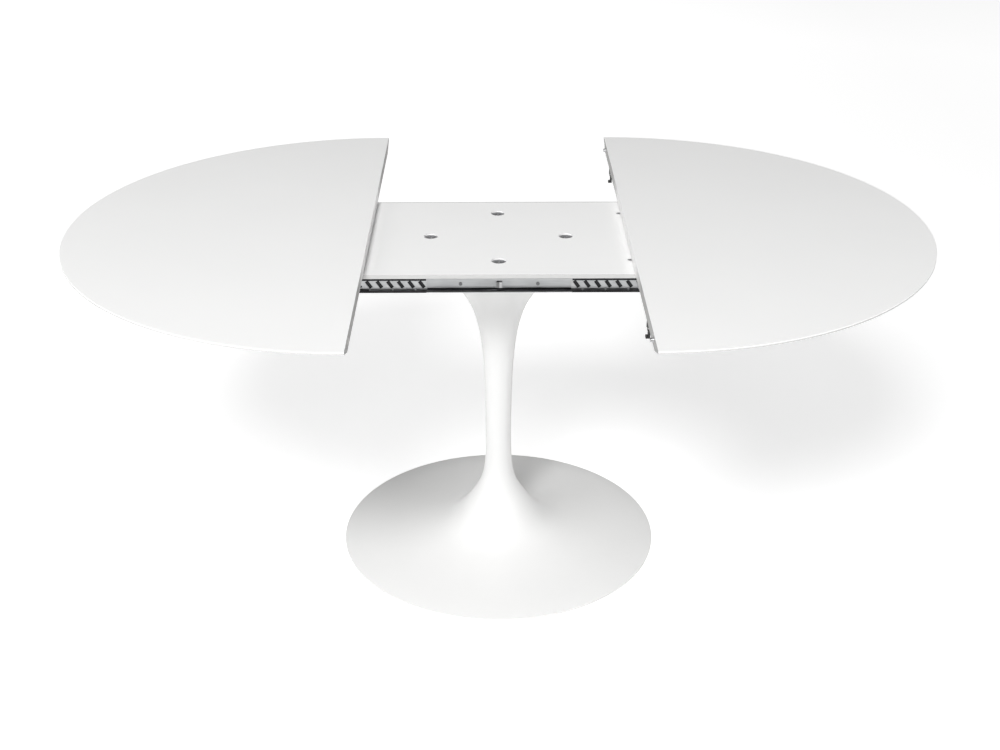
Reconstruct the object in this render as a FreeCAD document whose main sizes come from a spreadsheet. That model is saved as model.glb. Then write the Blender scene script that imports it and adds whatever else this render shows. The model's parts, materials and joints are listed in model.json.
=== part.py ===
import FreeCAD, Part
import math
import os
import re

# Extending round pedestal table: two half-round leaves that slide apart on ball
# slides, a steel carrier between them, and one flared pedestal below.
# Millimetres. The origin is on the floor under the pedestal's axis, the leaves
# travel along X, and the front is at -Y. The leaves are drawn apart.

os.makedirs("parts", exist_ok=True)
doc = FreeCAD.newDocument("extending_table")
sheet = doc.addObject("Spreadsheet::Sheet", "sizes")

sizes = {
    # table top
    "table_height": 720,
    "leaf_radius": 600,
    "leaf_thick": 22,
    "leaf_band": 3,
    "leaf_bevel": 50,
    "leaf_chamfer": 1,
    "leaf_travel": 255,
    # carrier under the leaves
    "running_gap": 2,
    "plate_length": 900,
    "plate_width": 412,
    "plate_thick": 8,
    "rail_thick": 18,
    "rail_height": 30,
    "crossbar_thick": 30,
    "crossbar_height": 20,
    "crossbar_left": 262,
    "crossbar_right": 252,
    "crossbar_screw_offset": 132,
    # fixed channel of each ball slide
    "channel_depth": 12,
    "channel_height": 28,
    "channel_drop": 0.5,
    "channel_lip": 3.5,
    "channel_sheet": 1.5,
    "channel_screw_inner": 73,
    "channel_screw_middle": 230,
    "channel_screw_inset": 25,
    "rail_screw_inner": 290,
    "rail_screw_inset": 70,
    # ball cage and balls
    "cage_length": 260,
    "cage_sheet": 0.8,
    "cage_offset": 1.7,
    "cage_depth": 6.2,
    "cage_stop_inset": 53,
    "cage_stop_gap": 1,
    "cage_stop_long": 4,
    "cage_stop_tall": 8,
    "ball_radius": 2.3,
    "ball_gap": 0.1,
    "ball_pocket_gap": 0.15,
    "ball_depth": 6.6,
    "slot_wide": 7,
    "slot_long": 16,
    # moving runner of each slide and the bearer it is screwed to
    "runner_length": 450,
    "runner_setback": 8,
    "runner_depth": 7.8,
    "runner_sheet": 1.5,
    "bearer_gap": 1,
    "bearer_thick": 18,
    "bearer_height": 38,
    "bearer_length": 450,
    "bearer_setback": 20,
    # stop between the two runners
    "stop_long": 10,
    "stop_depth": 7.5,
    "stop_height": 11,
    # hooks that lock the closed leaves together
    "catch_inset": 174,
    "pivot_setback": 4.5,
    "pivot_drop": 11,
    "pivot_radius": 2.5,
    "pivot_overhang": 1,
    "hook_barrel_radius": 4,
    "hook_wide": 10,
    "hook_thick": 4,
    "hook_reach": 21,
    "nub_long": 4,
    "nub_thick": 4,
    "bracket_thick": 2,
    "bracket_long": 40,
    "bracket_wide": 30,
    "ear_thick": 2.5,
    "ear_gap": 0.4,
    "ear_long": 12,
    "keeper_thick": 2.5,
    "keeper_long": 30,
    "keeper_gap": 0.5,
    "keeper_clear": 1.5,
    "catch_screw_inset": 9,
    "catch_screw_spread": 9,
    # pins and bushes that line up the leaf edges
    "pin_inset": 70,
    "pin_shank_radius": 5,
    "pin_shank_long": 24,
    "pin_nose_radius": 4,
    "pin_nose_long": 5,
    "pin_tip_long": 1,
    "bush_radius": 6,
    "bush_long": 16,
    "bush_gap": 0.2,
    # pedestal casting
    "foot_radius": 337,
    "foot_rim": 3,
    "waist_radius": 27,
    "waist_height": 250,
    "flange_radius": 165,
    "flange_thick": 12,
    "flange_web": 16,
    "pedestal_wall": 8,
    "cavity_radius": 296,
    "cavity_top_radius": 112,
    "core_hole_radius": 30,
    "bolt_circle_radius": 135,
    # foot filling and floor ring
    "floor_ring_thick": 3,
    "floor_ring_outer": 330,
    "floor_ring_inner": 300,
    "cover_thick": 1,
    "cover_gap": 0.5,
    "ballast_radius": 190,
    "ballast_top_radius": 115,
    "ballast_height": 16,
    "ballast_hole_radius": 60,
    "boss_circle_radius": 85,
    "boss_radius": 13,
    "boss_height": 45,
    # fasteners
    "flange_bolt_radius": 6,
    "flange_bolt_head_radius": 14.5,
    "flange_bolt_head_tall": 4.5,
    "flange_bolt_sink": 3,
    "flange_bolt_long": 28,
    "flange_bolt_socket": 4.6,
    "ballast_bolt_radius": 5,
    "ballast_bolt_head_radius": 8,
    "ballast_bolt_head_tall": 8,
    "ballast_bolt_grip": 7,
    "ballast_bolt_bite": 20,
    "ballast_bolt_socket": 4,
    "plate_screw_radius": 2.5,
    "plate_screw_head_radius": 5,
    "plate_screw_head_tall": 3,
    "plate_screw_long": 24,
    "plate_screw_socket": 1.8,
    "slide_screw_radius": 1.75,
    "slide_screw_head_radius": 3.5,
    "slide_screw_head_tall": 1.2,
    "slide_screw_long": 14,
    "slide_screw_socket": 1.3,
    "bearer_screw_radius": 2.25,
    "bearer_screw_head_radius": 4.5,
    "bearer_screw_head_tall": 3,
    "bearer_screw_sink": 8,
    "bearer_screw_bite": 14,
    "bearer_screw_socket": 1.8,
    "stop_screw_radius": 1.5,
    "stop_screw_head_radius": 3,
    "stop_screw_head_tall": 1.2,
    "stop_screw_bite": 8,
    "stop_screw_socket": 1.1,
    # shared fits
    "fit_gap": 0.05,
    "head_gap": 0.5,
    "cut_overrun": 1,
}

# counts, angles and shares
slot_count = 13
ball_count = 6
slot_lean_degrees = 35
full_turn_degrees = 360
half_turn_degrees = 180
socket_depth_share = 0.6
runner_screw_shares = (0.1, 0.5, 0.9)
bearer_screw_shares = (0.05, 0.3, 0.7, 0.95)

# pedestal outline as (radius share, height share): the foot from rim to waist,
# then the flare from waist to flange
foot_shares = [
    (1.0, 0.0), (0.9355, 0.0135), (0.7516, 0.0389), (0.5581, 0.0676), (0.4129, 0.0984),
    (0.3194, 0.1291), (0.2484, 0.1742), (0.1968, 0.2295), (0.1516, 0.2951), (0.1113, 0.3689),
    (0.0758, 0.4385), (0.0484, 0.5), (0.0229, 0.5902), (0.0029, 0.7951),
]
flare_shares = [
    (0.0, 0.0), (0.011, 0.235), (0.025, 0.352), (0.052, 0.470), (0.107, 0.587),
    (0.220, 0.704), (0.346, 0.775), (0.457, 0.822), (0.717, 0.916), (1.0, 1.0),
]

for row, (name, value) in enumerate(sizes.items(), start=1):
    sheet.set(f"A{row}", name)
    sheet.set(f"B{row}", str(value))
    sheet.setAlias(f"B{row}", name)
doc.recompute()

# levels and faces that several pieces share, as expressions of the sizes
leaf_low = "(table_height - leaf_thick)"
plate_top = f"({leaf_low} - running_gap)"
plate_low = f"({plate_top} - plate_thick)"
plate_edge = "(plate_width / 2)"
channel_back = f"({plate_edge} - channel_depth)"
channel_top = f"({plate_low} - channel_drop)"
slide_mid = f"({channel_top} - channel_height / 2)"
ball_rise = "(channel_height / 2 - channel_sheet - ball_gap - ball_radius)"
runner_half = f"({ball_rise} - ball_radius - ball_gap)"
bearer_face = f"({plate_edge} + bearer_gap)"
cage_back = f"({channel_back} + channel_sheet + cage_offset)"
cage_stop = "(plate_length / 2 - cage_stop_inset)"
cage_start = f"({cage_stop} - cage_stop_gap - cage_length)"
pivot_height = f"({leaf_low} - pivot_drop)"
catch_offset = "(leaf_radius - catch_inset)"
pin_offset = "(leaf_radius - pin_inset)"
pin_height = "(table_height - leaf_thick / 2)"
ballast_low = "(floor_ring_thick + cover_thick)"
ballast_top = f"({ballast_low} + ballast_height)"

up = FreeCAD.Vector(0, 0, 1)
down = FreeCAD.Vector(0, 0, -1)
front_rear = {"front": -1, "rear": 1}
left_right = {"left": -1, "right": 1}
sub_parts = []


def refer(text):
    return re.sub(r"[a-z][a-z_]+", lambda found: f"sizes.{found[0]}", text)


def size(name):
    return float(sheet.get(name))


def bind(item, **texts):
    for name, text in texts.items():
        item.setExpression(name, refer(text))


def place(item, point):
    for axis, text in zip("xyz", point):
        item.setExpression(f"Placement.Base.{axis}", refer(text))


def turn(item, axis):
    item.Placement = FreeCAD.Placement(FreeCAD.Vector(), FreeCAD.Rotation(up, axis))


def box(low, spans):
    item = doc.addObject("Part::Box", "block")
    bind(item, Length=spans[0], Width=spans[1], Height=spans[2])
    place(item, low)
    return item


def rod(foot, radius, height, axis=up):
    item = doc.addObject("Part::Cylinder", "rod")
    turn(item, axis)
    bind(item, Radius=radius, Height=height)
    place(item, foot)
    return item


def taper(foot, foot_radius, top_radius, height, axis=up):
    item = doc.addObject("Part::Cone", "taper")
    turn(item, axis)
    bind(item, Radius1=foot_radius, Radius2=top_radius, Height=height)
    place(item, foot)
    return item


def hexagon(foot, radius, height, axis=up):
    item = doc.addObject("Part::Prism", "hexagon")
    turn(item, axis)
    bind(item, Circumradius=radius, Height=height)
    place(item, foot)
    return item


def group(items, name="group"):
    item = doc.addObject("Part::Compound", name)
    item.Links = items
    return item


def fuse(items):
    item = doc.addObject("Part::MultiFuse", "fusion")
    item.Shapes = items
    item.Refine = True
    return item


def cut(body, tools):
    item = doc.addObject("Part::Cut", "cut")
    item.Base = body
    item.Tool = group(tools) if len(tools) > 1 else tools[0]
    return item


def keep(item, label):
    item.Label = label
    sub_parts.append(item)


def outward(sign, near, wide):
    # low end of a stretch of a given width that starts near the middle plane
    return near if sign > 0 else f"-({near}) - ({wide})"


def along(point, axis, distance):
    # a point moved along one of the main axes
    parts = zip(point, axis)
    return tuple(f"{text} + {int(step)} * ({distance})" if step else text for text, step in parts)


def across(sign):
    return FreeCAD.Vector(0, sign, 0)


def lengthwise(sign):
    return FreeCAD.Vector(sign, 0, 0)


def pan_screw(kind, seat, axis, length):
    # flat round head standing on the seat, shank along the axis, hexagon socket
    head_foot = along(seat, axis, f"-{kind}_head_tall")
    head = rod(head_foot, f"{kind}_head_radius", f"{kind}_head_tall", axis)
    shank = rod(seat, f"{kind}_radius", length, axis)
    socket_deep = f"{kind}_head_tall * {socket_depth_share}"
    return cut(fuse([head, shank]), [hexagon(head_foot, f"{kind}_socket", socket_deep, axis)])


def sunk_screw(kind, top, length):
    # countersunk head flush at the top, shank downwards, hexagon socket
    head = taper(top, f"{kind}_head_radius", f"{kind}_radius", f"{kind}_head_tall", down)
    neck = along(top, down, f"{kind}_head_tall")
    shank = rod(neck, f"{kind}_radius", f"{length} - {kind}_head_tall", down)
    socket_deep = f"{kind}_head_tall * {socket_depth_share}"
    return cut(fuse([head, shank]), [hexagon(top, f"{kind}_socket", socket_deep, down)])


def drilled(kind, start, axis, length):
    return rod(start, f"{kind}_radius + fit_gap", f"{length} + cut_overrun", axis)


def countersink(kind, top):
    wide = taper(
        top,
        f"{kind}_head_radius + fit_gap",
        f"{kind}_radius + fit_gap",
        f"{kind}_head_tall",
        down,
    )
    return fuse([wide, drilled(kind, top, down, "plate_thick")])


def counterbore(kind, top):
    # countersink whose head sits below the face
    seat = along(top, down, f"{kind}_sink")
    well = rod(seat, f"{kind}_head_radius + fit_gap", f"{kind}_sink + cut_overrun", up)
    return fuse([well, countersink(kind, seat)])


def round_places(radius_name):
    # four places square to each other on a circle about the pedestal's axis
    far = f"-{radius_name}"
    return [(radius_name, "0"), ("0", radius_name), (far, "0"), ("0", far)]


def leaf_edge(sign):
    return f"({sign} * leaf_travel)"


def from_edge(sign, distance):
    return f"({sign} * (leaf_travel + {distance}))"


def make_profile(edges, name):
    face = Part.Face(Part.Wire(edges))
    profile = doc.addObject("Part::Feature", name)
    profile.Shape = face
    turned = doc.addObject("Part::Revolution", f"{name}_turned")
    turned.Source = profile
    turned.Axis = up
    turned.Base = FreeCAD.Vector()
    turned.Angle = full_turn_degrees
    turned.Solid = True
    return turned


def polyline(points):
    pairs = zip(points, points[1:])
    return [Part.LineSegment(first, second).toShape() for first, second in pairs]


def pedestal_outline():
    # one smooth curve from the foot's rim through the waist to the flange
    rim_height = size("floor_ring_thick") + size("foot_rim")
    waist_radius = size("waist_radius")
    waist_height = size("waist_height")
    plate_height = size("table_height") - size("leaf_thick") - size("running_gap") - size("plate_thick")
    flange_low = plate_height - size("flange_thick")
    foot_span = size("foot_radius") - waist_radius
    flare_span = size("flange_radius") - waist_radius
    points = []
    for radius_share, height_share in foot_shares:
        height = rim_height + height_share * (waist_height - rim_height)
        points.append(FreeCAD.Vector(waist_radius + radius_share * foot_span, 0, height))
    for radius_share, height_share in flare_shares:
        height = waist_height + height_share * (flange_low - waist_height)
        points.append(FreeCAD.Vector(waist_radius + radius_share * flare_span, 0, height))
    curve = Part.BSplineCurve()
    curve.interpolate(points)
    return curve, points, plate_height


def make_pedestal():
    curve, points, flange_top = pedestal_outline()
    foot_low = size("floor_ring_thick")
    outer_edges = [curve.toShape()] + polyline([
        points[-1],
        FreeCAD.Vector(points[-1].x, 0, flange_top),
        FreeCAD.Vector(0, 0, flange_top),
        FreeCAD.Vector(0, 0, foot_low),
        FreeCAD.Vector(points[0].x, 0, foot_low),
        points[0],
    ])
    outer = make_profile(outer_edges, "pedestal_outer")

    # the hollow keeps one wall behind the curve, from inside the rim to the flange
    inner_points = []
    for point in points[2:-2]:
        tangent = curve.tangent(curve.parameter(point))[0]
        inward = FreeCAD.Vector(-tangent.z, 0, tangent.x)
        inner_points.append(point + inward * size("pedestal_wall"))
    inner_curve = Part.BSplineCurve()
    inner_curve.interpolate(inner_points)
    hollow_top = flange_top - size("flange_web")
    overrun = size("cut_overrun")
    core = size("core_hole_radius")
    hollow_edges = [inner_curve.toShape()] + polyline([
        inner_points[-1],
        FreeCAD.Vector(size("cavity_top_radius"), 0, hollow_top),
        FreeCAD.Vector(core, 0, hollow_top),
        FreeCAD.Vector(core, 0, flange_top + overrun),
        FreeCAD.Vector(0, 0, flange_top + overrun),
        FreeCAD.Vector(0, 0, foot_low - overrun),
        FreeCAD.Vector(size("cavity_radius"), 0, foot_low - overrun),
        FreeCAD.Vector(size("cavity_radius"), 0, foot_low + size("cover_thick")),
        inner_points[0],
    ])
    hollow = make_profile(hollow_edges, "pedestal_hollow")

    # bosses for the foot's weight are left standing in the hollow
    bosses = []
    holes = []
    for x, y in round_places("boss_circle_radius"):
        foot = (x, y, ballast_top)
        bosses.append(rod(foot, "boss_radius", "boss_height"))
        holes.append(drilled("ballast_bolt", foot, up, "ballast_bolt_bite"))
    for x, y in round_places("bolt_circle_radius"):
        holes.append(drilled("flange_bolt", (x, y, plate_low), down, "flange_bolt_long - plate_thick"))
    keep(cut(cut(outer, [cut(hollow, bosses)]), holes), "pedestal")


def make_foot_filling():
    cone = taper(("0", "0", ballast_low), "ballast_radius", "ballast_top_radius", "ballast_height")
    below = along(("0", "0", ballast_low), down, "cut_overrun")
    tools = [rod(below, "ballast_hole_radius", "ballast_height + cut_overrun * 2")]
    bolts = []
    seat_height = f"({ballast_top} - ballast_bolt_grip)"
    for x, y in round_places("boss_circle_radius"):
        seat = (x, y, seat_height)
        sink = along((x, y, ballast_low), down, "cut_overrun")
        sink_deep = "ballast_height - ballast_bolt_grip + cut_overrun"
        tools.append(rod(sink, "ballast_bolt_head_radius + head_gap", sink_deep))
        tools.append(drilled("ballast_bolt", seat, up, "ballast_bolt_grip"))
        bolts.append(pan_screw("ballast_bolt", seat, up, "ballast_bolt_grip + ballast_bolt_bite"))
    keep(cut(cone, tools), "ballast_ring")
    keep(group(bolts), "ballast_bolts")

    cover = rod(("0", "0", "floor_ring_thick"), "cavity_radius - cover_gap", "cover_thick")
    keep(cover, "foot_cover")
    floor = ("0", "0", "0")
    ring = rod(floor, "floor_ring_outer", "floor_ring_thick")
    hole = rod(along(floor, down, "cut_overrun"), "floor_ring_inner", "floor_ring_thick + cut_overrun * 2")
    keep(cut(ring, [hole]), "floor_ring")


def rail_screw_places(sign):
    y = f"{sign} * ({channel_back} - rail_thick / 2)"
    spots = ("rail_screw_inner", "(plate_length / 2 - rail_screw_inset)")
    return [(f"{end} * {spot}", y) for spot in spots for end in left_right.values()]


def crossbar_middle(side):
    return f"({left_right[side]} * crossbar_{side})"


def crossbar_screw_places(side):
    return [(crossbar_middle(side), f"{sign} * crossbar_screw_offset") for sign in front_rear.values()]


def channel_screw_places():
    spots = ("channel_screw_inner", "channel_screw_middle", "(plate_length / 2 - channel_screw_inset)")
    return [f"{end} * {spot}" for spot in spots for end in left_right.values()]


def make_carrier():
    places = []
    for side, sign in front_rear.items():
        rail_places = rail_screw_places(sign)
        low = (
            "-plate_length / 2",
            outward(sign, f"{channel_back} - rail_thick", "rail_thick"),
            f"{plate_low} - rail_height",
        )
        rail = box(low, ("plate_length", "rail_thick", "rail_height"))
        holes = []
        for x, y in rail_places:
            holes.append(drilled("plate_screw", (x, y, plate_low), down, "plate_screw_long - plate_thick"))
        face = f"{sign} * {channel_back}"
        for x in channel_screw_places():
            start = (x, face, slide_mid)
            holes.append(drilled("slide_screw", start, across(-sign), "slide_screw_long - channel_sheet"))
        bite = "stop_screw_bite - channel_sheet"
        holes.append(drilled("stop_screw", ("0", face, slide_mid), across(-sign), bite))
        keep(cut(rail, holes), f"carrier_rail_{side}")
        places += rail_places

    for side in left_right:
        bar_places = crossbar_screw_places(side)
        low = (
            f"{crossbar_middle(side)} - crossbar_thick / 2",
            f"-({channel_back} - rail_thick)",
            f"{plate_low} - crossbar_height",
        )
        bar = box(low, ("crossbar_thick", f"2 * ({channel_back} - rail_thick)", "crossbar_height"))
        holes = []
        for x, y in bar_places:
            holes.append(drilled("plate_screw", (x, y, plate_low), down, "plate_screw_long - plate_thick"))
        keep(cut(bar, holes), f"crossbar_{side}")
        places += bar_places

    plate = box(
        ("-plate_length / 2", f"-{plate_edge}", plate_low),
        ("plate_length", "plate_width", "plate_thick"),
    )
    holes = [countersink("plate_screw", (x, y, plate_top)) for x, y in places]
    bolt_places = round_places("bolt_circle_radius")
    holes += [counterbore("flange_bolt", (x, y, plate_top)) for x, y in bolt_places]
    keep(cut(plate, holes), "carrier_plate")

    screws = [sunk_screw("plate_screw", (x, y, plate_top), "plate_screw_long") for x, y in places]
    keep(group(screws), "plate_screws")
    bolt_top = along(("0", "0", plate_top), down, "flange_bolt_sink")[-1]
    bolt_long = "flange_bolt_long - flange_bolt_sink"
    bolts = [sunk_screw("flange_bolt", (x, y, bolt_top), bolt_long) for x, y in bolt_places]
    keep(group(bolts), "flange_bolts")


def make_channel(side, sign):
    # C section, open to the outside, with returned lips, screw holes and end stops
    ends = "-plate_length / 2"
    bottom = f"{channel_top} - channel_height"
    outer = box(
        (ends, outward(sign, channel_back, "channel_depth"), bottom),
        ("plate_length", "channel_depth", "channel_height"),
    )
    room = "channel_depth - 2 * channel_sheet"
    long_cut = ("-plate_length / 2 - cut_overrun", "plate_length + 2 * cut_overrun")
    hollow = box(
        (long_cut[0], outward(sign, f"{channel_back} + channel_sheet", room), f"{bottom} + channel_sheet"),
        (long_cut[1], room, "channel_height - 2 * channel_sheet"),
    )
    mouth_deep = "channel_sheet + 2 * cut_overrun"
    mouth_near = f"{plate_edge} - channel_sheet - cut_overrun"
    mouth = box(
        (long_cut[0], outward(sign, mouth_near, mouth_deep), f"{bottom} + channel_lip"),
        (long_cut[1], mouth_deep, "channel_height - 2 * channel_lip"),
    )
    start = f"{sign} * ({channel_back} - cut_overrun)"
    through = "channel_sheet + cut_overrun"
    holes = [drilled("stop_screw", ("0", start, slide_mid), across(sign), through)]
    for x in channel_screw_places():
        holes.append(drilled("slide_screw", (x, start, slide_mid), across(sign), through))
    section = cut(outer, [hollow, mouth] + holes)
    tab_deep = "cage_offset + cage_sheet"
    tabs = []
    for end in left_right.values():
        low = (
            outward(end, cage_stop, "cage_stop_long"),
            outward(sign, f"{channel_back} + channel_sheet", tab_deep),
            f"{slide_mid} - cage_stop_tall / 2",
        )
        tabs.append(box(low, ("cage_stop_long", tab_deep, "cage_stop_tall")))
    keep(fuse([section] + tabs), f"slide_channel_{side}")


def make_slides():
    screws = []
    stops = []
    stop_screws = []
    for side, sign in front_rear.items():
        make_channel(side, sign)
        seat = f"{sign} * ({channel_back} + channel_sheet)"
        for x in channel_screw_places():
            screws.append(pan_screw("slide_screw", (x, seat, slide_mid), across(-sign), "slide_screw_long"))
        low = (
            "-stop_long / 2",
            outward(sign, f"{channel_back} + channel_sheet", "stop_depth"),
            f"{slide_mid} - stop_height / 2",
        )
        block = box(low, ("stop_long", "stop_depth", "stop_height"))
        front_face = f"{sign} * ({channel_back} + channel_sheet + stop_depth)"
        stop_seat = ("0", front_face, slide_mid)
        stops.append(cut(block, [drilled("stop_screw", stop_seat, across(-sign), "stop_depth")]))
        length = "stop_depth + stop_screw_bite"
        stop_screws.append(pan_screw("stop_screw", stop_seat, across(-sign), length))
    keep(group(screws), "channel_screws")
    keep(group(stops), "centre_stops")
    keep(group(stop_screws), "stop_screws")


def ball_places(end):
    spacing = f"cage_length / {ball_count}"
    return [f"{end} * ({cage_start} + {spacing} * ({index} + 1 / 2))" for index in range(ball_count)]


def make_cage(end_name, end, side, sign):
    # channel-shaped strip with leaning slots in its web and ball pockets in its flanges
    start = outward(end, cage_start, "cage_length")
    half = f"({ball_rise} + cage_sheet / 2)"
    web = box(
        (start, outward(sign, cage_back, "cage_sheet"), f"{slide_mid} - {half}"),
        ("cage_length", "cage_sheet", f"2 * {half}"),
    )
    flanges = []
    pockets = []
    for level in (-1, 1):
        middle = f"{slide_mid} + {level} * {ball_rise}"
        low = (start, outward(sign, cage_back, "cage_depth"), f"{middle} - cage_sheet / 2")
        flanges.append(box(low, ("cage_length", "cage_depth", "cage_sheet")))
        for x in ball_places(end):
            foot = (x, f"{sign} * ({channel_back} + ball_depth)", f"{middle} - cage_sheet / 2 - cut_overrun")
            pockets.append(rod(foot, "ball_radius + ball_pocket_gap", "cage_sheet + 2 * cut_overrun"))
    slots = []
    for index in range(slot_count):
        centre = f"{end} * ({cage_start} + cage_length / {slot_count} * ({index} + 1 / 2))"
        slots.append(leaning_slot(centre, sign))
    keep(cut(fuse([web] + flanges), pockets + slots), f"{end_name}_cage_{side}")


def leaning_slot(centre, sign):
    # a block through the cage's web, turned about its own middle
    lean = math.radians(slot_lean_degrees)
    half_x = f"(slot_wide * {math.cos(lean)} - slot_long * {math.sin(lean)}) / 2"
    half_z = f"(slot_wide * {math.sin(lean)} + slot_long * {math.cos(lean)}) / 2"
    deep = "cage_sheet + 2 * cut_overrun"
    slot = doc.addObject("Part::Box", "slot")
    rotation = FreeCAD.Rotation(across(1), -slot_lean_degrees)
    slot.Placement = FreeCAD.Placement(FreeCAD.Vector(), rotation)
    bind(slot, Length="slot_wide", Width=deep, Height="slot_long")
    place(slot, (
        f"{centre} - {half_x}",
        outward(sign, f"{cage_back} - cut_overrun", deep),
        f"{slide_mid} - {half_z}",
    ))
    return slot


def make_cages():
    for end_name, end in left_right.items():
        balls = []
        for side, sign in front_rear.items():
            make_cage(end_name, end, side, sign)
            for level in (-1, 1):
                for x in ball_places(end):
                    ball = doc.addObject("Part::Sphere", "ball")
                    bind(ball, Radius="ball_radius")
                    height = f"{slide_mid} + {level} * {ball_rise}"
                    place(ball, (x, f"{sign} * ({channel_back} + ball_depth)", height))
                    balls.append(ball)
        keep(group(balls), f"{end_name}_balls")


def runner_screw_places(end):
    return [from_edge(end, f"runner_setback + runner_length * {share}") for share in runner_screw_shares]


def bearer_screw_places(end):
    return [from_edge(end, f"bearer_setback + bearer_length * {share}") for share in bearer_screw_shares]


def bearer_middle(sign):
    return f"{sign} * ({bearer_face} + bearer_thick / 2)"


def make_bearers(end_name, end):
    bearer_screws = []
    runner_screws = []
    bearer_low = f"({leaf_low} - bearer_height)"
    for side, sign in front_rear.items():
        low = (
            outward(end, "leaf_travel + bearer_setback", "bearer_length"),
            outward(sign, bearer_face, "bearer_thick"),
            bearer_low,
        )
        bearer = box(low, ("bearer_length", "bearer_thick", "bearer_height"))
        holes = []
        for x in bearer_screw_places(end):
            bottom = (x, bearer_middle(sign), bearer_low)
            seat = along(bottom, up, "bearer_screw_sink")
            sink_start = along(bottom, down, "cut_overrun")
            sink = "bearer_screw_sink + cut_overrun"
            holes.append(rod(sink_start, "bearer_screw_head_radius + head_gap", sink))
            holes.append(drilled("bearer_screw", seat, up, "bearer_height - bearer_screw_sink"))
            length = "bearer_height - bearer_screw_sink + bearer_screw_bite"
            bearer_screws.append(pan_screw("bearer_screw", seat, up, length))
        for x in runner_screw_places(end):
            seat = (x, f"{sign} * ({bearer_face} - runner_sheet)", slide_mid)
            holes.append(drilled("slide_screw", seat, across(sign), "slide_screw_long"))
            runner_screws.append(pan_screw("slide_screw", seat, across(sign), "slide_screw_long"))
        keep(cut(bearer, holes), f"{end_name}_bearer_{side}")
        make_runner(end_name, end, side, sign)
    keep(group(bearer_screws), f"{end_name}_bearer_screws")
    keep(group(runner_screws), f"{end_name}_runner_screws")


def make_runner(end_name, end, side, sign):
    # C section open to the inside, its back screwed to the bearer
    near = f"{bearer_face} - runner_depth"
    inside = "runner_depth - runner_sheet + cut_overrun"
    outer = box(
        (
            outward(end, "leaf_travel + runner_setback", "runner_length"),
            outward(sign, near, "runner_depth"),
            f"{slide_mid} - {runner_half}",
        ),
        ("runner_length", "runner_depth", f"2 * {runner_half}"),
    )
    hollow = box(
        (
            outward(end, "leaf_travel + runner_setback - cut_overrun", "runner_length + 2 * cut_overrun"),
            outward(sign, f"{near} - cut_overrun", inside),
            f"{slide_mid} - {runner_half} + runner_sheet",
        ),
        ("runner_length + 2 * cut_overrun", inside, f"2 * {runner_half} - 2 * runner_sheet"),
    )
    tools = [hollow]
    for x in runner_screw_places(end):
        start = (x, f"{sign} * ({bearer_face} - runner_sheet - cut_overrun)", slide_mid)
        tools.append(drilled("slide_screw", start, across(sign), "runner_sheet + cut_overrun"))
    keep(cut(outer, tools), f"{end_name}_runner_{side}")


def half_disc(item, end):
    item.Angle = half_turn_degrees
    quarter = half_turn_degrees / 2
    spin = FreeCAD.Rotation(up, -quarter if end > 0 else quarter)
    item.Placement = FreeCAD.Placement(FreeCAD.Vector(), spin)
    return item


def make_leaf(end_name, end):
    # half disc with a wide bevel below, a thin edge band and a broken top edge
    edge = leaf_edge(end)
    band_low = "(table_height - leaf_chamfer - leaf_band)"
    layers = [
        taper((edge, "0", leaf_low), "leaf_radius - leaf_bevel", "leaf_radius",
              f"{band_low} - {leaf_low}"),
        rod((edge, "0", band_low), "leaf_radius", "leaf_band"),
        taper((edge, "0", "table_height - leaf_chamfer"), "leaf_radius",
              "leaf_radius - leaf_chamfer", "leaf_chamfer"),
    ]
    board = fuse([half_disc(layer, end) for layer in layers])
    holes = []
    for sign in front_rear.values():
        for x in bearer_screw_places(end):
            start = (x, bearer_middle(sign), leaf_low)
            holes.append(drilled("bearer_screw", start, up, "bearer_screw_bite"))
        for x, y in catch_screw_places(end, sign):
            holes.append(drilled("slide_screw", (x, y, leaf_low), up, "slide_screw_long"))
        mouth = along((edge, f"{sign} * {pin_offset}", pin_height), lengthwise(-end), "cut_overrun")
        if end > 0:
            radius = "pin_shank_radius + fit_gap"
            deep = "pin_shank_long + head_gap + cut_overrun"
        else:
            radius = "bush_radius + fit_gap"
            deep = "bush_long + head_gap + cut_overrun"
        holes.append(rod(mouth, radius, deep, lengthwise(end)))
    keep(cut(board, holes), f"{end_name}_leaf")


def catch_plate_start(end):
    # distance from the leaf's straight edge to the near side of its catch plate
    if end > 0:
        return "(pivot_setback - hook_barrel_radius)"
    return "(hook_reach - nub_thick - pivot_setback - keeper_gap - keeper_thick)"


def catch_plate_long(end):
    return "bracket_long" if end > 0 else "keeper_long"


def catch_screw_places(end, sign):
    inset = f"{catch_plate_start(end)} + {catch_plate_long(end)} - catch_screw_inset"
    x = from_edge(end, inset)
    return [(x, f"{sign} * {catch_offset} + {step} * catch_screw_spread") for step in (-1, 1)]


def catch_plate(end, sign, thick):
    start = f"leaf_travel + {catch_plate_start(end)}"
    long = catch_plate_long(end)
    low = (
        outward(end, start, long),
        f"{sign} * {catch_offset} - bracket_wide / 2",
        f"{leaf_low} - {thick}",
    )
    return box(low, (long, "bracket_wide", thick))


def catch_screws(end, sign, thick):
    seats = [(x, y, f"{leaf_low} - {thick}") for x, y in catch_screw_places(end, sign)]
    screws = [pan_screw("slide_screw", seat, up, f"slide_screw_long + {thick}") for seat in seats]
    tools = [drilled("slide_screw", along(seat, down, "cut_overrun"), up, f"{thick} + cut_overrun")
             for seat in seats]
    return screws, tools


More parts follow.
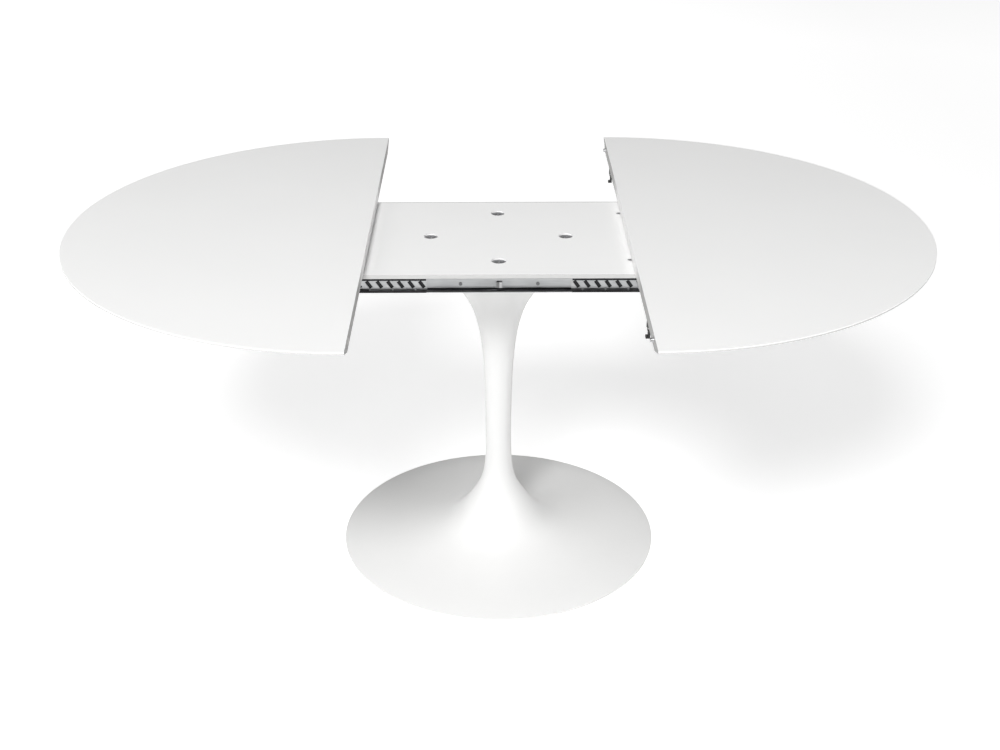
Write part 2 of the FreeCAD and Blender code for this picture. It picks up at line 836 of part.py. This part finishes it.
def make_hooks():
    pivot_x = "(leaf_travel + pivot_setback)"
    all_screws = []
    pins = []
    ear_near = "(hook_wide / 2 + ear_gap)"
    for side, sign in front_rear.items():
        middle = f"{sign} * {catch_offset}"
        ears = []
        for ear in front_rear.values():
            near = f"{middle} + {ear} * {ear_near}"
            low_y = near if ear > 0 else f"{near} - ear_thick"
            low = (f"{pivot_x} - hook_barrel_radius", low_y, f"{pivot_height} - hook_barrel_radius")
            height = "pivot_drop + hook_barrel_radius - bracket_thick"
            ears.append(box(low, ("ear_long", "ear_thick", height)))
        pin_half = f"({ear_near} + ear_thick + pivot_overhang)"
        pin_foot = (pivot_x, f"{middle} - {pin_half}", pivot_height)
        pins.append(rod(pin_foot, "pivot_radius", f"2 * {pin_half}", across(1)))
        screws, tools = catch_screws(1, sign, "bracket_thick")
        all_screws += screws
        tools.append(rod(pin_foot, "pivot_radius + fit_gap", f"2 * {pin_half}", across(1)))
        keep(cut(fuse([catch_plate(1, sign, "bracket_thick")] + ears), tools), f"catch_bracket_{side}")
        make_hook(side, middle, pivot_x)
    keep(group(all_screws), "catch_screws")
    keep(group(pins), "hook_pins")


def make_hook(side, middle, pivot_x):
    # hanging arm with a round eye on the pin and a nub that hooks behind the keeper
    low_y = f"{middle} - hook_wide / 2"
    eye_foot = (pivot_x, low_y, pivot_height)
    eye = rod(eye_foot, "hook_barrel_radius", "hook_wide", across(1))
    arm = box(
        (f"{pivot_x} - hook_thick / 2", low_y, f"{pivot_height} - hook_reach"),
        ("hook_thick", "hook_wide", "hook_reach"),
    )
    nub = box(
        (f"{pivot_x} - hook_thick / 2 - nub_long", low_y, f"{pivot_height} - hook_reach"),
        ("nub_long", "hook_wide", "nub_thick"),
    )
    pin_hole = rod(
        along(eye_foot, across(-1), "cut_overrun"),
        "pivot_radius + fit_gap",
        "hook_wide + 2 * cut_overrun",
        across(1),
    )
    keep(cut(fuse([eye, arm, nub]), [pin_hole]), f"catch_hook_{side}")


def make_keepers():
    all_screws = []
    for side, sign in front_rear.items():
        plate = catch_plate(-1, sign, "bracket_thick")
        drop = "(pivot_drop - hook_thick / 2 - keeper_clear)"
        low = (
            outward(-1, f"leaf_travel + {catch_plate_start(-1)}", "keeper_thick"),
            f"{sign} * {catch_offset} - bracket_wide / 2",
            f"{leaf_low} - {drop}",
        )
        lip = box(low, ("keeper_thick", "bracket_wide", drop))
        screws, tools = catch_screws(-1, sign, "bracket_thick")
        all_screws += screws
        keep(cut(fuse([plate, lip]), tools), f"keeper_{side}")
    keep(group(all_screws), "keeper_screws")


def make_edge_pins():
    pins = []
    bushes = []
    for sign in front_rear.values():
        face = (leaf_edge(1), f"{sign} * {pin_offset}", pin_height)
        shank = rod(face, "pin_shank_radius", "pin_shank_long", lengthwise(1))
        nose = rod(face, "pin_nose_radius", "pin_nose_long", lengthwise(-1))
        tip_foot = along(face, lengthwise(-1), "pin_nose_long")
        tip = taper(tip_foot, "pin_nose_radius", "pin_nose_radius - pin_tip_long", "pin_tip_long",
                    lengthwise(-1))
        pins.append(fuse([shank, nose, tip]))
        mouth = (leaf_edge(-1), f"{sign} * {pin_offset}", pin_height)
        sleeve = rod(mouth, "bush_radius", "bush_long", lengthwise(-1))
        bore_start = along(mouth, lengthwise(1), "cut_overrun")
        bore = rod(bore_start, "pin_nose_radius + bush_gap", "bush_long + 2 * cut_overrun", lengthwise(-1))
        bushes.append(cut(sleeve, [bore]))
    keep(group(pins), "alignment_pins")
    keep(group(bushes), "pin_bushes")


make_pedestal()
make_foot_filling()
make_carrier()
make_slides()
make_cages()
for end_name, end in left_right.items():
    make_leaf(end_name, end)
    make_bearers(end_name, end)
make_hooks()
make_keepers()
make_edge_pins()
doc.recompute()

for item in doc.Objects:
    if "Invalid" in item.State or "Error" in item.State:
        raise RuntimeError(f"{item.Label} did not build")
for item in sub_parts:
    if item.Shape.isNull() or not item.Shape.isValid():
        raise RuntimeError(f"{item.Label} has no sound shape")
for item in sub_parts:
    item.Shape.exportStep(f"parts/{item.Label}.step")
print(len(sub_parts), "sub-parts written")
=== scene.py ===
import bpy
import json
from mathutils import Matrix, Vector

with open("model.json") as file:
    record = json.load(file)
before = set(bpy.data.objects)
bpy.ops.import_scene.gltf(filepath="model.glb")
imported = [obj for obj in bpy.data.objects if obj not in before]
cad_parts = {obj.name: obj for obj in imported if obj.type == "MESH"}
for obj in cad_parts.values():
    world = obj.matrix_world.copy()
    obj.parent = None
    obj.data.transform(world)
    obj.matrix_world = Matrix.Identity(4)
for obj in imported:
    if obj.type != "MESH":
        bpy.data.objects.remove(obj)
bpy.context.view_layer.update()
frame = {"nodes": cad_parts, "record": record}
nodes = frame["nodes"]
print("frame loaded:", len(nodes), "nodes")


# shader helpers

mixSockets = dict(first=6, second=7, result=2)  # the Mix node's colour sockets


def newMaterial(name):
    mat = bpy.data.materials.new(name)
    mat.use_nodes = True
    tree = mat.node_tree
    tree.nodes.clear()
    out = tree.nodes.new("ShaderNodeOutputMaterial")
    shader = tree.nodes.new("ShaderNodeBsdfPrincipled")
    tree.links.new(shader.outputs["BSDF"], out.inputs["Surface"])
    return mat, tree, shader


def objectCoords(tree, stretch=(1, 1, 1)):
    coords = tree.nodes.new("ShaderNodeTexCoord")
    mapping = tree.nodes.new("ShaderNodeMapping")
    mapping.inputs["Scale"].default_value = stretch
    tree.links.new(coords.outputs["Object"], mapping.inputs["Vector"])
    return mapping.outputs["Vector"]


def axisValue(tree, axis, kind="Object"):
    coords = tree.nodes.new("ShaderNodeTexCoord")
    split = tree.nodes.new("ShaderNodeSeparateXYZ")
    tree.links.new(coords.outputs[kind], split.inputs["Vector"])
    return split.outputs[axis]


def noise(tree, vector, scale, detail, roughness=0.5):
    tex = tree.nodes.new("ShaderNodeTexNoise")
    tex.inputs["Scale"].default_value = scale
    tex.inputs["Detail"].default_value = detail
    tex.inputs["Roughness"].default_value = roughness
    tree.links.new(vector, tex.inputs["Vector"])
    return tex.outputs["Fac"]


def mathNode(tree, operation, first, second=0.0):
    node = tree.nodes.new("ShaderNodeMath")
    node.operation = operation
    for socket, value in ((node.inputs[0], first), (node.inputs[1], second)):
        if isinstance(value, (int, float)):
            socket.default_value = value
        else:
            tree.links.new(value, socket)
    return node.outputs[0]


def offMiddle(tree, axis, kind="Object"):
    return mathNode(tree, "ABSOLUTE", axisValue(tree, axis, kind))


def mapRange(tree, value, fromLow, fromHigh, toLow, toHigh, soft=False):
    node = tree.nodes.new("ShaderNodeMapRange")
    tree.links.new(value, node.inputs["Value"])
    node.inputs["From Min"].default_value = fromLow
    node.inputs["From Max"].default_value = fromHigh
    node.inputs["To Min"].default_value = toLow
    node.inputs["To Max"].default_value = toHigh
    node.interpolation_type = "SMOOTHSTEP" if soft else "LINEAR"
    return node.outputs["Result"]


def stepUp(tree, value, place, width):
    return mapRange(tree, value, place, place + width, 0.0, 1.0)


def stepDown(tree, value, place, width):
    return mapRange(tree, value, place, place + width, 1.0, 0.0)


def mixColor(tree, factor, first, second):
    node = tree.nodes.new("ShaderNodeMix")
    node.data_type = "RGBA"
    tree.links.new(factor, node.inputs["Factor"])
    for side, color in (("first", first), ("second", second)):
        socket = node.inputs[mixSockets[side]]
        if isinstance(color, tuple):
            socket.default_value = color + (1.0,)
        else:
            tree.links.new(color, socket)
    return node.outputs[mixSockets["result"]]


def bump(tree, shader, height, strength, distance):
    node = tree.nodes.new("ShaderNodeBump")
    node.inputs["Strength"].default_value = strength
    node.inputs["Distance"].default_value = distance
    tree.links.new(height, node.inputs["Height"])
    tree.links.new(node.outputs["Normal"], shader.inputs["Normal"])


# satin white lacquer: soft orange peel, faint cloudiness, with painted shade on the stem, rim band,
# cut edges and the plate's edges, and painted bounce light where the cut edges run over the carrier

coatLook = dict(cloudDetail=4.0, cloudLow=0.1, cloudHigh=0.9, roughSpread=0.03,
                peelDetail=2.0, peelDepth=0.0004, ior=1.5,
                edgeWidth=0.0001, rearShadeWidth=0.002, cutWidth=0.0002, rimLow=0.2, rimHigh=0.5)
leafLook = dict(color=(0.885, 0.885, 0.88), colorDeep=(0.865, 0.865, 0.86),
                roughness=0.5, gloss=0.1, cloudScale=3.0, peelScale=420.0, peel=0.05,
                rimShadeColor=(0.54, 0.54, 0.535),
                cutPlace=0.2551, cutShadeColor=(0.34, 0.34, 0.335),
                runPlace=0.19, runFade=0.13, carrierBounceColor=(0.85, 0.85, 0.845))
pedestalLook = dict(color=(0.72, 0.72, 0.716), colorDeep=(0.705, 0.705, 0.701),
                    roughness=0.3, gloss=0.25, cloudScale=5.0, peelScale=300.0, peel=0.08,
                    stemLow=0.06, stemHigh=0.22, stemShadeColor=(0.675, 0.675, 0.671))
plateLook = dict(color=(0.90, 0.90, 0.895), colorDeep=(0.88, 0.88, 0.875),
                 roughness=0.5, gloss=0.12, cloudScale=6.0, peelScale=700.0, peel=0.12,
                 edgePlace=0.2058, edgeShadeColor=(0.46, 0.46, 0.455),
                 rearPlace=0.2015, rearShadeColor=(0.56, 0.56, 0.555))


def lacquer(name, look):
    mat, tree, shader = newMaterial(name)
    vector = objectCoords(tree)
    cloud = noise(tree, vector, look["cloudScale"], coatLook["cloudDetail"])
    shade = mapRange(tree, cloud, coatLook["cloudLow"], coatLook["cloudHigh"], 0.0, 1.0, soft=True)
    color = mixColor(tree, shade, look["color"], look["colorDeep"])
    if "stemShadeColor" in look:  # painted shade: the pedestal is darker from the stem up than on the foot
        height = axisValue(tree, "Z")
        raised = mapRange(tree, height, look["stemLow"], look["stemHigh"], 0.0, 1.0, soft=True)
        color = mixColor(tree, raised, color, look["stemShadeColor"])
    if "edgeShadeColor" in look:  # painted shade: the plate's long upright edges are darkened to stand in for their shade
        edgeShade = stepUp(tree, offMiddle(tree, "Y"), look["edgePlace"], coatLook["edgeWidth"])
        color = mixColor(tree, edgeShade, color, look["edgeShadeColor"])
    if "rearShadeColor" in look:  # painted shade: a darker line along the rear top edge
        rearShade = stepUp(tree, axisValue(tree, "Y"), look["rearPlace"], coatLook["rearShadeWidth"])
        color = mixColor(tree, rearShade, color, look["rearShadeColor"])
    if "rimShadeColor" in look:  # painted shade: the upright rim band is darkened
        flatness = offMiddle(tree, "Z", "Normal")
        rimShade = mapRange(tree, flatness, coatLook["rimLow"], coatLook["rimHigh"], 1.0, 0.0)
        color = mixColor(tree, rimShade, color, look["rimShadeColor"])
    if "cutShadeColor" in look:  # painted shade: the cut edge is darkened grey, with painted bounce light where it runs over the carrier
        cutShade = stepDown(tree, offMiddle(tree, "X"), look["cutPlace"], coatLook["cutWidth"])
        # painted bounce light: over the white carrier the cut edge turns white
        beyond = stepUp(tree, offMiddle(tree, "Y"), look["runPlace"], look["runFade"])
        edge = mixColor(tree, beyond, look["carrierBounceColor"], look["cutShadeColor"])
        color = mixColor(tree, cutShade, color, edge)
    tree.links.new(color, shader.inputs["Base Color"])
    smoothest = look["roughness"] - coatLook["roughSpread"]
    roughest = look["roughness"] + coatLook["roughSpread"]
    rough = mapRange(tree, cloud, coatLook["cloudLow"], coatLook["cloudHigh"],
                     smoothest, roughest, soft=True)
    tree.links.new(rough, shader.inputs["Roughness"])
    peel = noise(tree, vector, look["peelScale"], coatLook["peelDetail"])
    bump(tree, shader, peel, look["peel"], coatLook["peelDepth"])
    shader.inputs["IOR"].default_value = coatLook["ior"]
    shader.inputs["Specular IOR Level"].default_value = look["gloss"]
    return mat


# grain and cloud set the tone and roughness of every steel, rubber, nylon, iron and timber piece

mottleLook = dict(share=0.5, toneLow=0.35, toneHigh=0.65, grainLow=0.3, grainHigh=0.7,
                  roughSpread=0.06, grainDetail=5.0, cloudDetail=3.0)


def mottle(tree, grain, cloud, look):
    grainPart = mathNode(tree, "MULTIPLY", grain, mottleLook["share"])
    cloudPart = mathNode(tree, "MULTIPLY", cloud, mottleLook["share"])
    tone = mathNode(tree, "ADD", grainPart, cloudPart)
    shade = mapRange(tree, tone, mottleLook["toneLow"], mottleLook["toneHigh"], 0.0, 1.0)
    return mixColor(tree, shade, look["color"], look["colorDeep"])


def dress(tree, shader, color, grain, look):
    tree.links.new(color, shader.inputs["Base Color"])
    shader.inputs["Metallic"].default_value = look["metallic"]
    smoothest = look["roughness"] - mottleLook["roughSpread"]
    roughest = look["roughness"] + mottleLook["roughSpread"]
    rough = mapRange(tree, grain, mottleLook["grainLow"], mottleLook["grainHigh"], smoothest, roughest)
    tree.links.new(rough, shader.inputs["Roughness"])


# dark film: a dark line along the lower track, and all over where the cages run, grease and painted
# shade behind the cage slots

trackFilm = dict(fade=0.0005, ragged=0.0003, lineLow=0.6612, lineHigh=0.6652, runStart=0.1372)
screwFilm = dict(fade=0.0005, ragged=0.0003, runStart=0.1372)
cageFilm = dict(fade=0.0006, ragged=0.0003, lineLow=0.6600, lineHigh=0.6640)


def greaseAndShadeFilm(tree, grain, film):
    wander = mapRange(tree, grain, mottleLook["grainLow"], mottleLook["grainHigh"],
                      -film["ragged"], film["ragged"])
    areas = []
    if "lineLow" in film:
        height = mathNode(tree, "ADD", axisValue(tree, "Z"), wander)
        below = stepDown(tree, height, film["lineHigh"], film["fade"])
        above = stepUp(tree, height, film["lineLow"] - film["fade"], film["fade"])
        areas.append(mathNode(tree, "MULTIPLY", below, above))
    # painted shade with grease: beyond runStart the steel is darkened all over, standing in for the
    # shade behind the cage slots
    if "runStart" in film:
        along = mathNode(tree, "ADD", offMiddle(tree, "X"), wander)
        areas.append(stepUp(tree, along, film["runStart"], film["fade"]))
    if len(areas) == 1:
        return areas[0]
    return mathNode(tree, "MAXIMUM", *areas)


# plated steel with fine drawn lines along the slide

steelLook = dict(grainRoughness=0.6, lineDepth=0.0002)
channelLook = dict(color=(0.43, 0.435, 0.44), colorDeep=(0.33, 0.335, 0.34),
                   metallic=1.0, roughness=0.38, lines=0.15,
                   grain=(1.0, 40.0, 40.0), grainScale=30.0, cloudScale=18.0,
                   film=trackFilm, filmColor=(0.03, 0.03, 0.032))
cageLook = dict(color=(0.46, 0.465, 0.47), colorDeep=(0.34, 0.345, 0.35),
                metallic=1.0, roughness=0.36, lines=0.15,
                grain=(4.0, 40.0, 40.0), grainScale=30.0, cloudScale=60.0,
                film=cageFilm, filmColor=(0.05, 0.05, 0.052))
runnerLook = dict(color=(0.66, 0.67, 0.68), colorDeep=(0.54, 0.55, 0.56),
                  metallic=1.0, roughness=0.36, lines=0.15,
                  grain=(1.0, 40.0, 40.0), grainScale=30.0, cloudScale=18.0)
screwLook = dict(color=(0.62, 0.62, 0.63), colorDeep=(0.42, 0.42, 0.43),
                 metallic=1.0, roughness=0.35, lines=0.1,
                 grain=(20.0, 20.0, 20.0), grainScale=30.0, cloudScale=90.0)
slideScrewLook = dict(color=(0.2, 0.2, 0.205), colorDeep=(0.14, 0.14, 0.145),
                      metallic=1.0, roughness=0.4, lines=0.1,
                      grain=(20.0, 20.0, 20.0), grainScale=30.0, cloudScale=90.0,
                      film=screwFilm, filmColor=(0.04, 0.04, 0.042))
boltLook = dict(color=(0.43, 0.43, 0.44), colorDeep=(0.31, 0.31, 0.32),
                metallic=0.85, roughness=0.55, lines=0.15,
                grain=(20.0, 20.0, 20.0), grainScale=30.0, cloudScale=70.0)
ballLook = dict(color=(0.30, 0.30, 0.31), colorDeep=(0.2, 0.2, 0.21),
                metallic=1.0, roughness=0.3, lines=0.03,
                grain=(20.0, 20.0, 20.0), grainScale=30.0, cloudScale=90.0)
coverLook = dict(color=(0.5, 0.5, 0.51), colorDeep=(0.4, 0.4, 0.41),
                 metallic=1.0, roughness=0.45, lines=0.1,
                 grain=(1.0, 30.0, 1.0), grainScale=20.0, cloudScale=10.0)


def platedSteel(name, look):
    mat, tree, shader = newMaterial(name)
    drawn = noise(tree, objectCoords(tree, look["grain"]), look["grainScale"],
                  mottleLook["grainDetail"], steelLook["grainRoughness"])
    cloud = noise(tree, objectCoords(tree), look["cloudScale"], mottleLook["cloudDetail"])
    color = mottle(tree, drawn, cloud, look)
    if "film" in look:
        color = mixColor(tree, greaseAndShadeFilm(tree, drawn, look["film"]), color, look["filmColor"])
    dress(tree, shader, color, drawn, look)
    bump(tree, shader, drawn, look["lines"], steelLook["lineDepth"])
    return mat


# black finished steel, rubber, nylon, iron and timber share one grainy recipe

grainLook = dict(grainRoughness=0.65, grainDepth=0.0003)
hookLook = dict(color=(0.018, 0.018, 0.019), colorDeep=(0.035, 0.034, 0.033),
                metallic=0.6, roughness=0.42, grainScale=900.0, cloudScale=90.0, grain=0.2)
rubberLook = dict(color=(0.02, 0.02, 0.02), colorDeep=(0.035, 0.035, 0.034),
                  metallic=0.0, roughness=0.75, grainScale=1200.0, cloudScale=60.0, grain=0.3)
stopLook = dict(color=(0.11, 0.11, 0.11), colorDeep=(0.14, 0.14, 0.14),
                metallic=0.0, roughness=0.5, grainScale=1200.0, cloudScale=60.0, grain=0.2,
                shadowEdge=0.0, shadowFade=0.0003, unshadedColor=(0.38, 0.38, 0.385))
bushLook = dict(color=(0.78, 0.77, 0.74), colorDeep=(0.72, 0.71, 0.68),
                metallic=0.0, roughness=0.5, grainScale=1500.0, cloudScale=120.0, grain=0.1)
weightLook = dict(color=(0.09, 0.088, 0.085), colorDeep=(0.14, 0.12, 0.105),
                  metallic=0.5, roughness=0.7, grainScale=260.0, cloudScale=14.0, grain=0.6)
bearerLook = dict(color=(0.80, 0.79, 0.77), colorDeep=(0.74, 0.73, 0.70),
                  metallic=0.0, roughness=0.6, grainScale=180.0, cloudScale=20.0, grain=0.25)


def grainy(name, look):
    mat, tree, shader = newMaterial(name)
    vector = objectCoords(tree)
    grain = noise(tree, vector, look["grainScale"],
                  mottleLook["grainDetail"], grainLook["grainRoughness"])
    cloud = noise(tree, vector, look["cloudScale"], mottleLook["cloudDetail"])
    color = mottle(tree, grain, cloud, look)
    if "unshadedColor" in look:  # painted shadow: at negative X the dark colour stands in for a shadow, the other half is grey
        unshaded = stepUp(tree, axisValue(tree, "X"), look["shadowEdge"], look["shadowFade"])
        color = mixColor(tree, unshaded, color, look["unshadedColor"])
    dress(tree, shader, color, grain, look)
    bump(tree, shader, grain, look["grain"], grainLook["grainDepth"])
    return mat


# one finish for each slot of the record, then the pieces that differ from their slot

finishes = {
    "white_lacquer_board": lacquer("leafLacquer", leafLook),
    "white_lacquer_casting": lacquer("pedestalLacquer", pedestalLook),
    "white_lacquer_plate": lacquer("plateCoat", plateLook),
    "zinc_channel": platedSteel("channelZinc", channelLook),
    "zinc_runner": platedSteel("runnerZinc", runnerLook),
    "zinc_cage": platedSteel("cageZinc", cageLook),
    "ball_steel": platedSteel("ballSteel", ballLook),
    "bolt_steel": platedSteel("boltSteel", boltLook),
    "screw_steel": platedSteel("screwSteel", screwLook),
    "grey_steel": platedSteel("coverSteel", coverLook),
    "black_steel": grainy("hookBlack", hookLook),
    "black_rubber": grainy("blackRubber", rubberLook),
    "white_nylon": grainy("bushNylon", bushLook),
    "cast_iron": grainy("weightIron", weightLook),
    "painted_timber": grainy("bearerPaint", bearerLook),
}
ownFinishes = {
    "channel_screws": platedSteel("slideScrewSteel", slideScrewLook),
    "centre_stops": grainy("stopBuffer", stopLook),
    "stop_screws": grainy("stopScrewSteel", stopLook),
}
for entry in frame["record"]["subparts"]:
    slots = nodes[entry["node"]].data.materials
    slots.clear()
    slots.append(finishes[entry["material_slot"]])
for nodeName, finish in ownFinishes.items():
    nodes[nodeName].data.materials[0] = finish
print("finishes set:", len(finishes) + len(ownFinishes))


# floor: pale paper that glows more with distance, then fades towards the horizon

floorLook = {
    "size": 120.0,
    "color": (0.62, 0.62, 0.62),
    "fibreScale": 40.0,
    "fibreDetail": 4.0,
    "fibreLow": 0.3,
    "fibreHigh": 0.7,
    "fibreShade": 0.99,
    "roughness": 0.9,
    "glowColor": (0.93, 0.93, 0.93),
    "glowNear": 0.72,
    "glowFar": 1.0,
    "glowStart": 0.6,
    "glowEnd": 5.0,
    "fadeStart": 6.5,
    "fadeEnd": 13.0,
    "fadeLeft": 0.75,  # what is left of the glow at the far end
    "skewReach": 2.0,
    "skewRight": 0.8,  # the right side glows a little less
}


def floorGlow(tree):
    reach = tree.nodes.new("ShaderNodeVectorMath")
    reach.operation = "LENGTH"
    tree.links.new(objectCoords(tree), reach.inputs[0])
    far = reach.outputs["Value"]
    glow = mapRange(tree, far, floorLook["glowStart"], floorLook["glowEnd"],
                    floorLook["glowNear"], floorLook["glowFar"])
    fade = mapRange(tree, far, floorLook["fadeStart"], floorLook["fadeEnd"],
                    1.0, floorLook["fadeLeft"], soft=True)
    skew = mapRange(tree, axisValue(tree, "X"), -floorLook["skewReach"], floorLook["skewReach"],
                    1.0, floorLook["skewRight"])
    return mathNode(tree, "MULTIPLY", mathNode(tree, "MULTIPLY", glow, fade), skew)


def makeFloor():
    half = floorLook["size"] / 2
    mesh = bpy.data.meshes.new("floor")
    corners = [(-half, -half, 0), (half, -half, 0), (half, half, 0), (-half, half, 0)]
    mesh.from_pydata(corners, [], [(0, 1, 2, 3)])
    floor = bpy.data.objects.new("floor", mesh)
    bpy.context.scene.collection.objects.link(floor)
    mat, tree, shader = newMaterial("floorPaper")
    fibre = noise(tree, objectCoords(tree), floorLook["fibreScale"], floorLook["fibreDetail"])
    tone = mapRange(tree, fibre, floorLook["fibreLow"], floorLook["fibreHigh"], 0.0, 1.0)
    light = floorLook["color"]
    dark = tuple(value * floorLook["fibreShade"] for value in light)
    tree.links.new(mixColor(tree, tone, light, dark), shader.inputs["Base Color"])
    shader.inputs["Roughness"].default_value = floorLook["roughness"]
    shader.inputs["Specular IOR Level"].default_value = 0.0
    shader.inputs["Emission Color"].default_value = floorLook["glowColor"] + (1.0,)
    tree.links.new(floorGlow(tree), shader.inputs["Emission Strength"])
    mesh.materials.append(mat)


# world: brighter at the horizon than overhead

worldLook = dict(color=(1.0, 1.0, 1.0), low=0.6, high=0.12, turn=0.25)


def makeWorld():
    world = bpy.data.worlds.new("studio")
    world.use_nodes = True
    tree = world.node_tree
    back = tree.nodes["Background"]
    back.inputs["Color"].default_value = worldLook["color"] + (1.0,)
    strength = mapRange(tree, axisValue(tree, "Z", "Generated"), 0.0, worldLook["turn"],
                        worldLook["low"], worldLook["high"])
    tree.links.new(strength, back.inputs["Strength"])
    bpy.context.scene.world = world


# lamps: a high key in front, soft fills from both sides and above

lampLook = {
    "key": dict(place=(-1.4, -5.7, 5.95), aim=(0.0, 0.0, 0.4), size=2.4, power=508.0),
    "left": dict(place=(-5.4, -3.0, 3.8), aim=(0.0, 0.0, 0.4), size=4.0, power=118.0),
    "right": dict(place=(5.4, -3.2, 3.7), aim=(0.0, 0.0, 0.4), size=4.0, power=76.0),
    "top": dict(place=(0.0, -3.2, 7.0), aim=(0.0, -0.1, 0.5), size=5.0, power=80.0),
}


def turnTo(holder, direction):
    holder.rotation_mode = "QUATERNION"
    holder.rotation_quaternion = direction.to_track_quat("-Z", "Y")


def makeLamp(name, look):
    lamp = bpy.data.lights.new(name, "AREA")
    lamp.shape = "DISK"
    lamp.size = look["size"]
    lamp.energy = look["power"]
    holder = bpy.data.objects.new(name, lamp)
    holder.location = look["place"]
    turnTo(holder, Vector(look["aim"]) - Vector(look["place"]))
    bpy.context.scene.collection.objects.link(holder)


# camera: the photograph's view

cameraLook = dict(place=(-0.0206, -2.7090, 1.7109), forward=(0.0079, 0.8983, -0.4394),
                  lens=51.72, sensor=36.0)


def makeCamera():
    data = bpy.data.cameras.new("photoView")
    data.sensor_width = cameraLook["sensor"]
    data.sensor_fit = "HORIZONTAL"
    data.lens = cameraLook["lens"]
    holder = bpy.data.objects.new("photoView", data)
    holder.location = cameraLook["place"]
    turnTo(holder, Vector(cameraLook["forward"]))
    bpy.context.scene.collection.objects.link(holder)
    bpy.context.scene.camera = holder


makeFloor()
makeWorld()
for lampName, look in lampLook.items():
    makeLamp(lampName, look)
makeCamera()
bpy.context.scene.view_settings.view_transform = "Standard"
print("stage, light and camera set")
